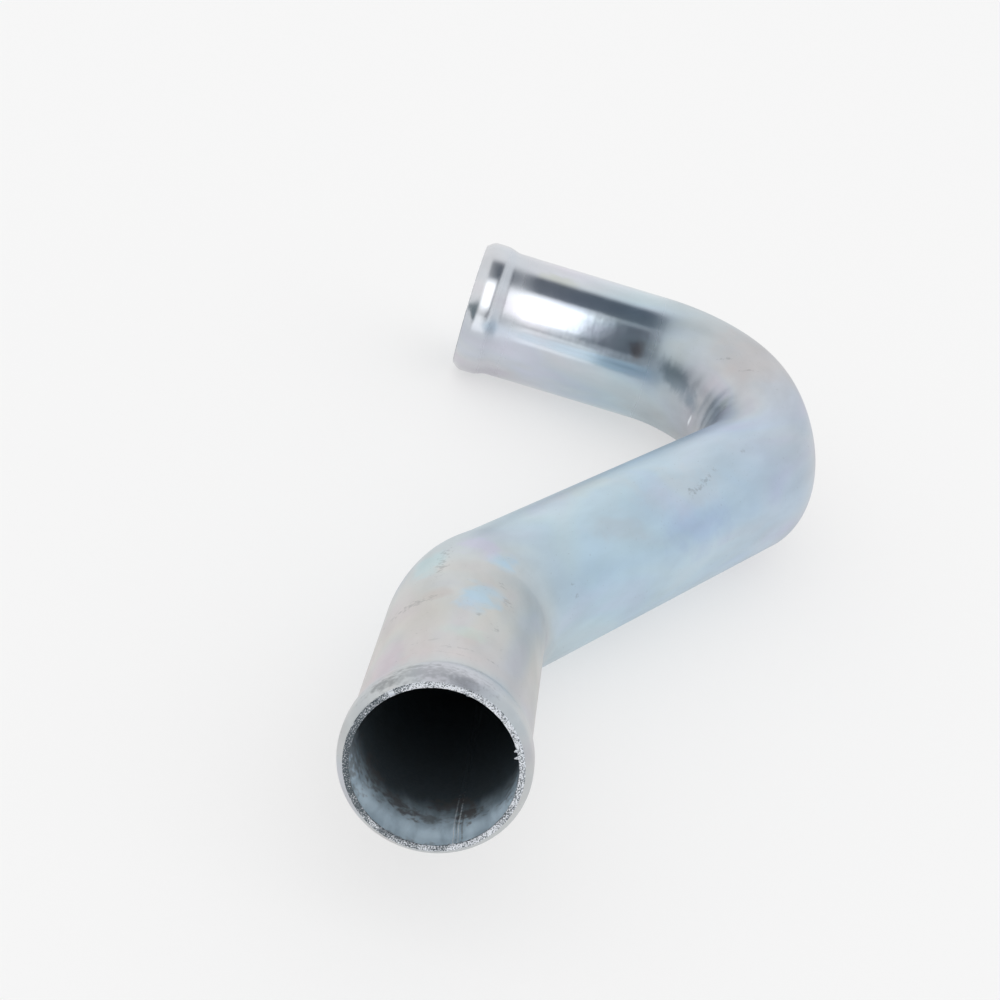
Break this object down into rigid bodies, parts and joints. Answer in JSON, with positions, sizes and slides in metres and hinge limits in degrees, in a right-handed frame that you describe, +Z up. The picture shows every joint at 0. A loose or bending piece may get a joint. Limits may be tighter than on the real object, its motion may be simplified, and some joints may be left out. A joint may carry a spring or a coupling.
{
  "type": "bent steel tube",
  "caption": "Bent steel hose pipe that leads coolant or charge air round a tight corner, its open mouths rolled into hose beads.",
  "frame": {"origin": "under the middle of the bounding box, on the floor the pipe rests on", "axes": "-X out of the mouth of the near leg, seen from above; +Z up, as the pipe rests"},
  "size_m": [0.4248, 0.1726, 0.0944],
  "materials": {
    "zinc_plate": "clear zinc plate with a faint iridescence, satin"
  },
  "bodies": {
    "root": {"bent_tube": "zinc_plate"}
  },
  "joints": []
}
